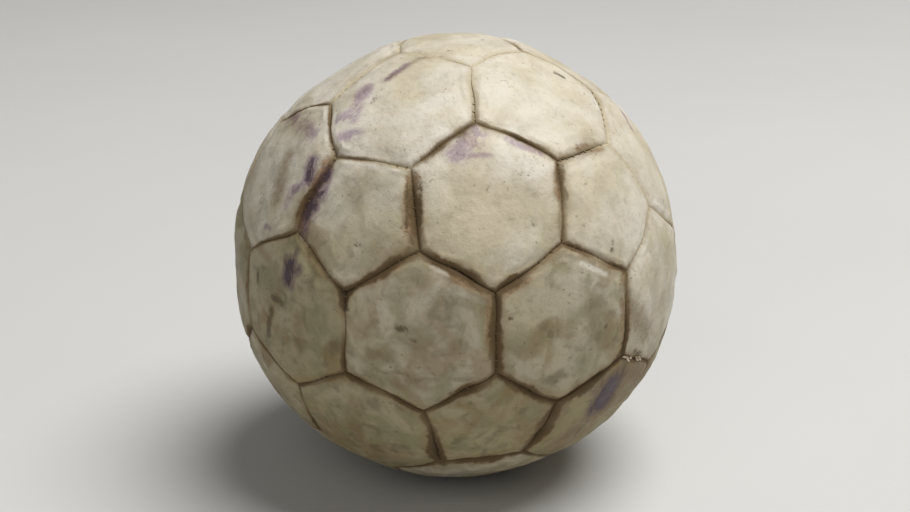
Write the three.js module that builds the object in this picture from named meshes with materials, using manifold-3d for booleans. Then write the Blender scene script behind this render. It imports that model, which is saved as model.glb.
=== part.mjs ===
// A hand-stitched soccer ball of 42 panels that has gone soft: 12 pentagons and 30 hexagons,
// the thread that joins their turned-in edges, the air bladder inside and its valve.
// Millimetres, +Z up. The origin is the middle of the small flat spot that the ball rests on.
import * as THREE from 'three';
import { mergeVertices } from 'three/addons/utils/BufferGeometryUtils.js';
import Module from 'manifold-3d';

const wasm = await Module();
wasm.setup();

// Driving dimensions of the ball
const BALL_RADIUS = 109;
const PENTAGON_ANGLE = 17.08; // degrees from a pentagon's middle to its corners
const FLAT_RADIUS = 20; // reach of the flat spot under the ball
const COVER_THICKNESS = 2.4;
const SEAM_GAP = 0.5; // between the turned-in edges of two neighbours

// Turned-in edge of a panel, through which the thread passes
const EDGE_DEPTH = 4;
const EDGE_THICKNESS = 1.4;

// A panel's section: how far below the ball's radius its face lies, by the share of the way
// from its middle to its seam. The middle hangs slack and the rim rolls down into the seam.
const MIDDLE_DROP = 0.8;
const FACE_SECTION = [
  { share: 0.5, drop: 0.6 },
  { share: 0.82, drop: 0 },
  { share: 0.94, drop: 0.5 },
];
const SEAM_DROP = 1.8;
const LINING_SHARE = 0.5; // the one ring of points on a panel's inner face
const STEPS_PER_SIDE = 2;

// Where the soft cover has sunk in or pushed out: degrees, and millimetres at the middle
const SLACK = [
  { longitude: -15, latitude: 9, reach: 14, height: -0.9 },
  { longitude: 6, latitude: 57, reach: 10, height: -0.9 },
  { longitude: 66, latitude: 78, reach: 20, height: 0.7 },
  { longitude: 153, latitude: 59, reach: 18, height: -1 },
  { longitude: 168, latitude: 31, reach: 16, height: 0.4 },
  { longitude: 178, latitude: 1, reach: 12, height: -0.8 },
  { longitude: -170, latitude: -27, reach: 22, height: 0.7 },
  { longitude: -130, latitude: -59, reach: 22, height: -0.5 },
  { longitude: -58, latitude: -55, reach: 12, height: -1 },
  { longitude: -29, latitude: -27, reach: 22, height: 0.8 },
];

// Where the hand-cut panels pull a seam aside: degrees, and millimetres east and north
const PULLS = [
  { longitude: -162, latitude: 73, east: -1.5, north: 3.5 },
  { longitude: -89, latitude: 73, east: 1.5, north: -1.5 },
  { longitude: -90, latitude: 52.5, east: -1.5, north: -1 },
  { longitude: -162, latitude: 53, east: 3, north: -0.4 },
  { longitude: -41, latitude: 39.5, east: -2, north: 1.5 },
  { longitude: -109, latitude: 20, east: 1.3, north: 0 },
  { longitude: -71, latitude: 20, east: -1.3, north: 0 },
  { longitude: -37, latitude: 20, east: -0.5, north: 2.5 },
  { longitude: -126, latitude: 10, east: -0.4, north: -1 },
  { longitude: -54, latitude: 9, east: 0.7, north: 1.2 },
  { longitude: -126, latitude: -10.5, east: -2, north: -1.5 },
  { longitude: -54, latitude: -11, east: 0.5, north: -2 },
  { longitude: -103, latitude: -40, east: -2, north: -4 },
];
const PULL_REACH = 7; // degrees

// Thread, bladder and valve
const CLEARANCE = 0.3;
const THREAD_WIDTH = 1.2;
const THREAD_THICKNESS = 0.9;
const BLADDER_RADIUS = 100;
const BLADDER_WALL = 1.2;
const BLADDER_DETAIL = 5;
const COVER_HOLE_RADIUS = 3.5;
const NECK_RADIUS = 3.2;
const STEM_RADIUS = 5.5;
const STEM_LENGTH = 13;
const BORE_RADIUS = 2;
const BORE_FOOT_RADIUS = 1.2; // the step that the core rests on
const BORE_FOOT_LENGTH = 3;
const CORE_LENGTH = 12;
const NEEDLE_RADIUS = 0.6;
const FLANGE_RADIUS = 13;
const FLANGE_THICKNESS = 1.5;
const PATCH_RADIUS = 15;
const PATCH_THICKNESS = 0.8;
const ROUND_SIDES = 32;

// The pattern: pentagons sit on the corners of an icosahedron, and hexagons on its edges
const RING_LATITUDE = THREE.MathUtils.radToDeg(Math.atan(0.5));
const FIFTH = 72;
const FIVE = [0, 1, 2, 3, 4];
const NEIGHBOUR_COSINE = 0.4; // icosahedron corners closer together than this are neighbours
const SAME_ANGLE = 0.01; // radians: directions closer together than this are one corner

function direction(longitude, latitude) {
  const theta = THREE.MathUtils.degToRad(longitude);
  const phi = THREE.MathUtils.degToRad(latitude);
  return new THREE.Vector3(
    Math.cos(phi) * Math.cos(theta), Math.cos(phi) * Math.sin(theta), Math.sin(phi),
  );
}

// The direction that lies the given angle, in radians, from one direction towards another
function towards(from, to, angle) {
  const whole = from.angleTo(to);
  return from.clone().multiplyScalar(Math.sin(whole - angle))
    .addScaledVector(to, Math.sin(angle))
    .divideScalar(Math.sin(whole));
}

// The direction at a share of the straight way between two directions
function between(from, to, share) {
  return from.clone().lerp(to, share).normalize();
}

const top = direction(0, 90);
const base = direction(0, -90);
const upper = FIVE.map((k) => direction(90 + FIFTH * k, RING_LATITUDE));
const lower = FIVE.map((k) => direction(-90 + FIFTH * k, -RING_LATITUDE));
const pentagonMiddles = [top, ...upper, ...lower, base];

function neighboursOf(...middles) {
  return pentagonMiddles.filter(
    (other) => middles.every((m) => m !== other && m.dot(other) > NEIGHBOUR_COSINE),
  );
}

// A direction on a seam, moved as the pulls around it say
const pullPlaces = PULLS.map(({ longitude, latitude, east, north }) => {
  const middle = direction(longitude, latitude);
  const eastward = new THREE.Vector3(0, 0, 1).cross(middle).normalize();
  const northward = middle.clone().cross(eastward);
  const shift = eastward.multiplyScalar(east)
    .addScaledVector(northward, north)
    .divideScalar(BALL_RADIUS);
  return { middle, shift };
});

function pulled(dir) {
  const reach = THREE.MathUtils.degToRad(PULL_REACH);
  return pullPlaces.reduce((moved, { middle, shift }) => (
    moved.addScaledVector(shift, Math.exp(-((middle.angleTo(dir) / reach) ** 2)))
  ), dir.clone()).normalize();
}

// The point where the three hexagons between three pentagons meet
function tripleCorner(a, b, c) {
  return a.clone().add(b).add(c).normalize();
}

function pentagonCorner(middle, corner) {
  return towards(middle, corner, THREE.MathUtils.degToRad(PENTAGON_ANGLE));
}

// A panel's outline goes round anticlockwise as seen from outside the ball
function panel(name, middle, corners) {
  const turn = corners[0].clone().cross(corners[1]).dot(middle);
  const outline = turn > 0 ? corners : [...corners].reverse();
  const rim = outline.flatMap((corner, i) => {
    const next = outline[(i + 1) % outline.length];
    return Array.from({ length: STEPS_PER_SIDE }, (_, j) => (
      pulled(between(corner, next, j / STEPS_PER_SIDE))
    ));
  });
  const toSide = Math.min(...outline.map((corner, i) => {
    const next = outline[(i + 1) % outline.length];
    return middle.angleTo(between(corner, next, 0.5));
  }));
  return { name, middle, outline, rim, innerRadius: BALL_RADIUS * toSide };
}

function pentagon(name, middle) {
  const first = neighboursOf(middle)[0];
  const ring = [first];
  while (ring.length < 5) {
    const last = ring[ring.length - 1];
    ring.push(neighboursOf(middle, last).find((other) => !ring.includes(other)));
  }
  const corners = ring.map((side, i) => (
    pentagonCorner(middle, tripleCorner(middle, side, ring[(i + 1) % ring.length]))
  ));
  return panel(name, middle, corners);
}

function hexagon(name, a, b) {
  const [left, right] = neighboursOf(a, b).map((c) => tripleCorner(a, b, c));
  return panel(name, between(a, b, 0.5), [
    left, pentagonCorner(a, left), pentagonCorner(a, right),
    right, pentagonCorner(b, right), pentagonCorner(b, left),
  ]);
}

const nextOf = (k) => (k + 1) % 5;
const panels = [
  pentagon('top_pentagon', top),
  ...FIVE.map((k) => hexagon(`crown_hexagon_${k + 1}`, top, upper[k])),
  ...FIVE.map((k) => pentagon(`upper_pentagon_${k + 1}`, upper[k])),
  ...FIVE.map((k) => hexagon(`upper_hexagon_${k + 1}`, upper[k], upper[nextOf(k)])),
  ...FIVE.flatMap((k) => [2, 3].map((step, j) => (
    hexagon(`middle_hexagon_${2 * k + j + 1}`, upper[k], lower[(k + step) % 5])
  ))),
  ...FIVE.map((k) => pentagon(`lower_pentagon_${k + 1}`, lower[k])),
  ...FIVE.map((k) => hexagon(`lower_hexagon_${k + 1}`, lower[k], lower[nextOf(k)])),
  ...FIVE.map((k) => hexagon(`foot_hexagon_${k + 1}`, base, lower[k])),
  pentagon('base_pentagon', base),
];

// The cover's surface. The ball's middle stands this high, so that the flat spot is at zero.
const centreHeight = Math.sqrt(BALL_RADIUS ** 2 - FLAT_RADIUS ** 2);
const slackPlaces = SLACK.map(({ longitude, latitude, reach, height }) => (
  { middle: direction(longitude, latitude), reach: THREE.MathUtils.degToRad(reach), height }
));

function slackAt(dir) {
  return slackPlaces.reduce((sum, { middle, reach, height }) => (
    sum + height * Math.exp(-((middle.angleTo(dir) / reach) ** 2))
  ), 0);
}

// A point of the ball in this direction, a depth below its radius, and no lower than the flat
function coverPoint(dir, depth, aboveFlat = 0) {
  const radius = BALL_RADIUS + slackAt(dir) - depth;
  const toFlat = dir.z < 0 ? (centreHeight - aboveFlat) / -dir.z : Infinity;
  return dir.clone().multiplyScalar(Math.min(radius, toFlat));
}

// Geometry from points and triangles of point numbers
function indexedGeometry(points, triangles) {
  const geometry = new THREE.BufferGeometry().setFromPoints(points);
  geometry.setIndex(triangles);
  geometry.computeVertexNormals();
  return geometry;
}

// A closed body from rings of points, one after another, with a single point at each end
function ringedGeometry(firstPoint, rings, lastPoint) {
  const count = rings[0].length;
  const points = [firstPoint, ...rings.flat(), lastPoint];
  const last = points.length - 1;
  const triangles = [];
  for (let i = 0; i < count; i += 1) {
    const next = (i + 1) % count;
    triangles.push(0, 1 + i, 1 + next);
    for (let ring = 0; ring < rings.length - 1; ring += 1) {
      const here = 1 + ring * count;
      const there = here + count;
      triangles.push(here + i, there + i, there + next, here + i, there + next, here + next);
    }
    const end = 1 + (rings.length - 1) * count;
    triangles.push(end + i, last, end + next);
  }
  return indexedGeometry(points, triangles);
}

// One cover panel: its face, the edge turned in all round, and its inner face
function panelGeometry({ middle, rim, innerRadius }) {
  const edgeShare = 1 - SEAM_GAP / 2 / innerRadius;
  const foldShare = edgeShare - EDGE_THICKNESS / innerRadius;
  const tipDepth = SEAM_DROP + EDGE_DEPTH;
  const ring = (share, depth, aboveFlat = 0) => (
    rim.map((corner) => coverPoint(between(middle, corner, share), depth, aboveFlat))
  );
  return ringedGeometry(
    coverPoint(middle, MIDDLE_DROP),
    [
      ...FACE_SECTION.map(({ share, drop }) => ring(share, drop)),
      ring(edgeShare, SEAM_DROP),
      ring(edgeShare, tipDepth),
      ring(foldShare, tipDepth),
      ring(foldShare, SEAM_DROP + COVER_THICKNESS / 2, COVER_THICKNESS),
      ring(LINING_SHARE, FACE_SECTION[0].drop + COVER_THICKNESS, COVER_THICKNESS),
    ],
    coverPoint(middle, MIDDLE_DROP + COVER_THICKNESS, COVER_THICKNESS),
  );
}

// The corners of the pattern, each once
const cornerPoints = panels.flatMap(({ outline }) => outline).filter((corner, i, all) => (
  all.findIndex((other) => other.angleTo(corner) < SAME_ANGLE) === i
));

function cornerKey(corner) {
  return String(cornerPoints.findIndex((other) => other.angleTo(corner) < SAME_ANGLE));
}

// The thread, a net of narrow strips that follows every seam just inside the turned-in edges
function threadGeometry() {
  const topDepth = SEAM_DROP + EDGE_DEPTH + CLEARANCE;
  const points = [];
  const triangles = [];
  const sides = new Map();
  const meetings = new Map();
  panels.forEach(({ middle, outline, rim, innerRadius }) => {
    const share = 1 - THREAD_WIDTH / 2 / innerRadius;
    const start = points.length;
    const count = rim.length;
    const dirs = rim.map((corner) => between(middle, corner, share));
    points.push(...dirs.map((dir) => coverPoint(dir, topDepth)));
    points.push(...dirs.map((dir) => coverPoint(dir, topDepth + THREAD_THICKNESS)));
    for (let i = 0; i < count; i += 1) {
      const here = start + i;
      const next = start + (i + 1) % count;
      triangles.push(here, next, next + count, here, next + count, here + count);
    }
    outline.forEach((corner, i) => {
      const key = cornerKey(corner);
      const nextKey = cornerKey(outline[(i + 1) % outline.length]);
      const along = Array.from({ length: STEPS_PER_SIDE + 1 }, (_, j) => (
        start + (i * STEPS_PER_SIDE + j) % count
      ));
      sides.set(`${key}|${nextKey}`, { along, count });
      meetings.set(key, [...(meetings.get(key) ?? []), { point: along[0], count }]);
    });
  });
  sides.forEach(({ along, count }, key) => {
    const [from, to] = key.split('|');
    if (Number(from) > Number(to)) return;
    const facing = sides.get(`${to}|${from}`);
    const across = [...facing.along].reverse();
    for (let j = 0; j < STEPS_PER_SIDE; j += 1) {
      const quad = [along[j], across[j], across[j + 1], along[j + 1]];
      const below = [count, facing.count, facing.count, count].map((step, i) => quad[i] + step);
      triangles.push(quad[0], quad[1], quad[2], quad[0], quad[2], quad[3]);
      triangles.push(below[0], below[2], below[1], below[0], below[3], below[2]);
    }
  });
  meetings.forEach((meeting) => {
    const [a, b, c] = meeting.map(({ point }) => points[point]);
    const order = a.clone().cross(b).dot(c) > 0 ? meeting : [...meeting].reverse();
    triangles.push(...order.map(({ point }) => point));
    triangles.push(...[...order].reverse().map(({ point, count }) => point + count));
  });
  return indexedGeometry(points, triangles);
}

// Joining and cutting closed geometries
function toSolid(geometry) {
  const plain = geometry.clone();
  plain.deleteAttribute('normal');
  plain.deleteAttribute('uv');
  const merged = mergeVertices(plain);
  return new wasm.Manifold(new wasm.Mesh({
    numProp: 3,
    vertProperties: new Float32Array(merged.attributes.position.array),
    triVerts: new Uint32Array(merged.index.array),
  }));
}

function toGeometry(solid) {
  const { vertProperties, triVerts } = solid.getMesh();
  const geometry = new THREE.BufferGeometry();
  geometry.setAttribute('position', new THREE.BufferAttribute(vertProperties, 3));
  geometry.setIndex(new THREE.BufferAttribute(triVerts, 1));
  geometry.computeVertexNormals();
  return geometry;
}

// The valve stands on a line out from the ball's middle, through the middle of one panel
const valveDirection = between(upper[0], upper[4], 0.5);
const up = new THREE.Vector3(0, 0, 1);
const valveTurn = new THREE.Quaternion().setFromUnitVectors(up, valveDirection);
const faceRadius = coverPoint(valveDirection, MIDDLE_DROP).length();

// A round hole along the valve's line, from near the middle of the ball to beyond its face
function holeAlongValve(radius) {
  const cylinder = new THREE.CylinderGeometry(radius, radius, BALL_RADIUS, ROUND_SIDES);
  cylinder.rotateX(Math.PI / 2);
  cylinder.translate(0, 0, BALL_RADIUS);
  cylinder.applyQuaternion(valveTurn);
  return toSolid(cylinder);
}

function withHole(geometry, radius) {
  return toGeometry(toSolid(geometry).subtract(holeAlongValve(radius)));
}

// The points of a round cap of the ball, from the valve's line outwards
function capArc(radius, fromReach, toReach) {
  const steps = [0, 1, 2];
  return steps.map((step) => {
    const reach = fromReach + (toReach - fromReach) * step / (steps.length - 1);
    return new THREE.Vector2(reach, Math.sqrt(radius ** 2 - reach ** 2));
  });
}

// A body turned about the valve's line, from a profile that closes on itself
function turned(profile) {
  const closed = [...profile, profile[0]];
  return new THREE.LatheGeometry(closed, ROUND_SIDES).rotateX(Math.PI / 2);
}

function valvePatchGeometry() {
  const outer = faceRadius - COVER_THICKNESS - 2 * CLEARANCE;
  return turned([
    ...capArc(outer - PATCH_THICKNESS, COVER_HOLE_RADIUS, PATCH_RADIUS),
    ...capArc(outer, COVER_HOLE_RADIUS, PATCH_RADIUS).reverse(),
  ]);
}

const stemFoot = BLADDER_RADIUS - STEM_LENGTH;
const boreStep = stemFoot + BORE_FOOT_LENGTH;

function valveHousingGeometry() {
  const underside = BLADDER_RADIUS + CLEARANCE;
  return turned([
    new THREE.Vector2(BORE_FOOT_RADIUS, stemFoot),
    new THREE.Vector2(STEM_RADIUS, stemFoot),
    ...capArc(underside, STEM_RADIUS, FLANGE_RADIUS),
    ...capArc(underside + FLANGE_THICKNESS, NECK_RADIUS, FLANGE_RADIUS).reverse(),
    new THREE.Vector2(NECK_RADIUS, faceRadius),
    new THREE.Vector2(BORE_RADIUS, faceRadius),
    new THREE.Vector2(BORE_RADIUS, boreStep),
    new THREE.Vector2(BORE_FOOT_RADIUS, boreStep),
  ]);
}

function valveCoreGeometry() {
  const foot = boreStep + CLEARANCE;
  const radius = BORE_RADIUS - CLEARANCE;
  return turned([
    new THREE.Vector2(NEEDLE_RADIUS, foot),
    new THREE.Vector2(radius, foot),
    new THREE.Vector2(radius, foot + CORE_LENGTH),
    new THREE.Vector2(NEEDLE_RADIUS, foot + CORE_LENGTH),
  ]);
}

function bladderGeometry() {
  const [outside, inside] = [BLADDER_RADIUS, BLADDER_RADIUS - BLADDER_WALL].map(
    (radius) => toSolid(new THREE.IcosahedronGeometry(radius, BLADDER_DETAIL)),
  );
  return toGeometry(outside.subtract(inside).subtract(holeAlongValve(STEM_RADIUS + CLEARANCE)));
}

// Materials
function material(color, roughness) {
  return new THREE.MeshStandardMaterial({ color, roughness, metalness: 0 });
}

const leather = () => material(0xcfc6a8, 0.62);
const waxedThread = () => material(0x6b5a40, 0.9);
const latex = () => material(0x2f2c29, 0.55);
const butyl = () => material(0x1c1b1a, 0.6);
const backing = () => material(0xb9b2a2, 0.95);

const ball = new THREE.Group();
ball.position.z = centreHeight;

function place(name, geometry, look, group = ball) {
  const mesh = new THREE.Mesh(geometry, look);
  mesh.name = name;
  group.add(mesh);
}

panels.forEach((piece) => {
  const geometry = panelGeometry(piece);
  const isPierced = piece.middle.angleTo(valveDirection) < SAME_ANGLE;
  place(piece.name, isPierced ? withHole(geometry, COVER_HOLE_RADIUS) : geometry, leather());
});
place('seam_thread', threadGeometry(), waxedThread());
place('bladder', bladderGeometry(), latex());

const valve = new THREE.Group();
valve.quaternion.copy(valveTurn);
ball.add(valve);
place('valve_patch', valvePatchGeometry(), backing(), valve);
place('valve_housing', valveHousingGeometry(), butyl(), valve);
place('valve_core', valveCoreGeometry(), butyl(), valve);

const part = new THREE.Group();
part.add(ball);

export default part;
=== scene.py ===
import math

import bpy
import numpy as np
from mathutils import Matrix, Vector


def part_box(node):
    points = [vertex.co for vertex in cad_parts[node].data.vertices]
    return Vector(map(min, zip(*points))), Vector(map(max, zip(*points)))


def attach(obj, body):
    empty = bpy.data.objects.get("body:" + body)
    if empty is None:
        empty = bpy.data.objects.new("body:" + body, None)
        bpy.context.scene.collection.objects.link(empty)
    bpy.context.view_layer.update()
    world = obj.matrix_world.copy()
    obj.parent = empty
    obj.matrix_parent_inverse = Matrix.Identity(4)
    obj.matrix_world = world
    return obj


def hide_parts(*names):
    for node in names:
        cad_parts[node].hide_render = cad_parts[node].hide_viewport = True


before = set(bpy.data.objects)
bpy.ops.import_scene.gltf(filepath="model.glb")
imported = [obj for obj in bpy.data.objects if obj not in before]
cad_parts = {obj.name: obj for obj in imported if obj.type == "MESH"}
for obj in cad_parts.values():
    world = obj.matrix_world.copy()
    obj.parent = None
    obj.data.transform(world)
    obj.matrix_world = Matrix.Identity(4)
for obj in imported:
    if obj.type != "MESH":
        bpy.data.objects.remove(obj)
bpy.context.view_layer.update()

# An old soccer ball that has gone soft: 42 stitched panels, worn, stained and slack.
# Lengths are in millimetres until a mesh is made in metres. Longitudes, latitudes and
# reaches are in degrees.
MM = 0.001
BALL_RADIUS = 109.0
FLAT_RADIUS = 20.0  # of the flat spot under the ball
PENTAGON_ANGLE = 17.08  # degrees from a pentagon's middle to its corners
COVER_THICKNESS = 2.4
BLADDER_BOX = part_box("bladder")
CENTRE = np.array((BLADDER_BOX[0] + BLADDER_BOX[1]) / 2) / MM
CENTRE_HEIGHT = math.sqrt(BALL_RADIUS**2 - FLAT_RADIUS**2)
BODY = "root"

# A panel's section, from its seam inwards
GROOVE_SLOPE = 0.56  # depth of the rolled edge at a dirty seam, as a share of its width
CLEAN_GROOVE = 0.22  # depth of a clean seam's groove, as a share of a dirty one's
GROOVE_TURN = 0.76  # how much of a quarter turn the edge rolls through
GROOVE_VARIES = 0.13
SEAM_GAP = 0.06
SEAM_WAVER = 0.28
GAP_REACH = 10.0  # how far from a seam its gap moves the skin
GAPE_WIDENS = 1.6  # a gape's shares in the groove's width, the gap, the stain and the dirt
GAPE_PARTS = 0.2
GAPE_STAINS = 2.2
GAPE_DIRTIES = 0.4
LIP_HEIGHT = 0.22  # of the low ridge along a groove
LIP_EVENNESS = 0.6
LIP_WIDTH = 1.5
SHOULDER_DROP = 0.6
SHOULDER_WIDTH = 9.0
SHOULDER_VARIES = 0.5
MIDDLE_DROP = 0.8
MIDDLE_FROM = 8.0
MIDDLE_WIDTH = 22.0
UNEVEN = {"broad": 0.16, "dents": 0.1, "fine": 0.035}  # heights of the skin's ripples
CALM_WIDTH = 3.0  # the ripples fade this close to a seam, to a share of their height
CALM_SHARE = 0.3
TIP_DEPTH = 5.8
EDGE_THICKNESS = 1.4
LINING_DEPTH = COVER_THICKNESS + SHOULDER_DROP
LINING_EDGE_DROP = 1.2
GRID_RINGS = 44
GRID_POWER = 1.6  # above 1, the rings crowd together towards the seam
WALL_RINGS = 7  # the face's rim, three down the turned-in edge, and three back under the panel

# The hole for the valve, in the middle of its panel
VALVE_PANEL = "upper_hexagon_5"
HOLE_RADIUS = 3.5
HOLE_ROUNDING = 0.5
HOLE_RINGS = (7, 24)  # the grid ring at the hole's edge, and the first that it leaves in place
COLLAR = [(0.3, 0.15), (0.0, 0.5), (0.0, COVER_THICKNESS)]  # shares of the rounding, and drops

# Stitches across the bottom of the seams
STITCH_PITCH = 4.3
STITCH_RADIUS = 0.36
STITCH_SINKS = 0.85  # below the bottom of the groove
STITCH_REACH = 0.5  # to each side of the seam, as a share of the groove's half-width
STITCH_SAG = 0.3
STITCH_SKEW = 0.18
STITCH_UNEVEN = 0.08
STITCH_POINTS = 7
SEAM_END = 2.4  # the length of a seam that its two corners leave without stitches
PUCKER = 0.07  # depth of the dimple that each stitch pulls
PUCKER_FROM = 0.8
PUCKER_WIDTH = 1.8

# Flakes of torn skin along one seam: runs of longitudes, a point of the seam and its slope
FLAKE_RUNS = [(-53.5, -50, 0.5), (-47, -43, 0.6)]
FLAKE_MIDDLE = (-50, -12.9)
FLAKE_SLOPE = -0.45
FLAKE_SIZES = (0.5, 1.1)
FLAKE_LENGTH = 1.9
FLAKE_WIDTH = 1.3
FLAKE_HALF_THICKNESS = 0.14
FLAKE_CURL = 1.9  # radians
FLAKE_ROOT_DEPTH = 0.5
FLAKE_SINKS = 0.2

# Soft places of the cover: longitude, latitude, reach, and height in millimetres
SLACK = [
    (-15, 9, 14, -0.9),
    (6, 57, 10, -0.9),
    (66, 78, 20, 0.7),
    (153, 59, 18, -1.0),
    (168, 31, 16, 0.4),
    (178, 1, 12, -0.8),
    (-170, -27, 22, 0.7),
    (-130, -59, 22, -0.5),
    (-58, -55, 12, -1.0),
    (-29, -27, 22, 0.8),
]

# Where the hand-cut panels pull a seam aside: longitude, latitude, millimetres east and north
PULLS = [
    (-162, 73, -1.5, 3.5),
    (-89, 73, 1.5, -1.5),
    (-90, 52.5, -1.5, -1),
    (-162, 53, 3, -0.4),
    (-41, 39.5, -2, 1.5),
    (-109, 20, 1.3, 0),
    (-71, 20, -1.3, 0),
    (-37, 20, -0.5, 2.5),
    (-126, 10, -0.4, -1),
    (-54, 9, 0.7, 1.2),
    (-126, -10.5, -2, -1.5),
    (-54, -11, 0.5, -2),
    (-103, -40, -2, -4),
]
PULL_REACH = 7  # degrees

# Where a seam gapes: longitude, latitude, reach, and how far it opens in millimetres
GAPES = [
    (-97.5, 14.5, 4, 1.0),
    (-86, 13, 3.5, 0.7),
    (-126, 8, 2.5, 0.8),
    (-97, -12.5, 3.5, 0.9),
    (-82, -14, 3.5, 0.9),
    (-106, -36, 5, 1.3),
    (-75, -30, 6, 1.1),
    (-91, -41.5, 7, 0.6),
    (-61.5, -14.5, 2.5, 0.8),
    (-67, -18, 2.5, 0.9),
    (-56, -11, 2.5, 0.8),
    (-47, -14.5, 3, 0.6),
    (-139.5, 41.5, 2.5, 0.6),
    (-111, 31, 5, 0.3),
    (-118, 15, 5, 0.4),
    (-69, 34, 4, 0.2),
]

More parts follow.
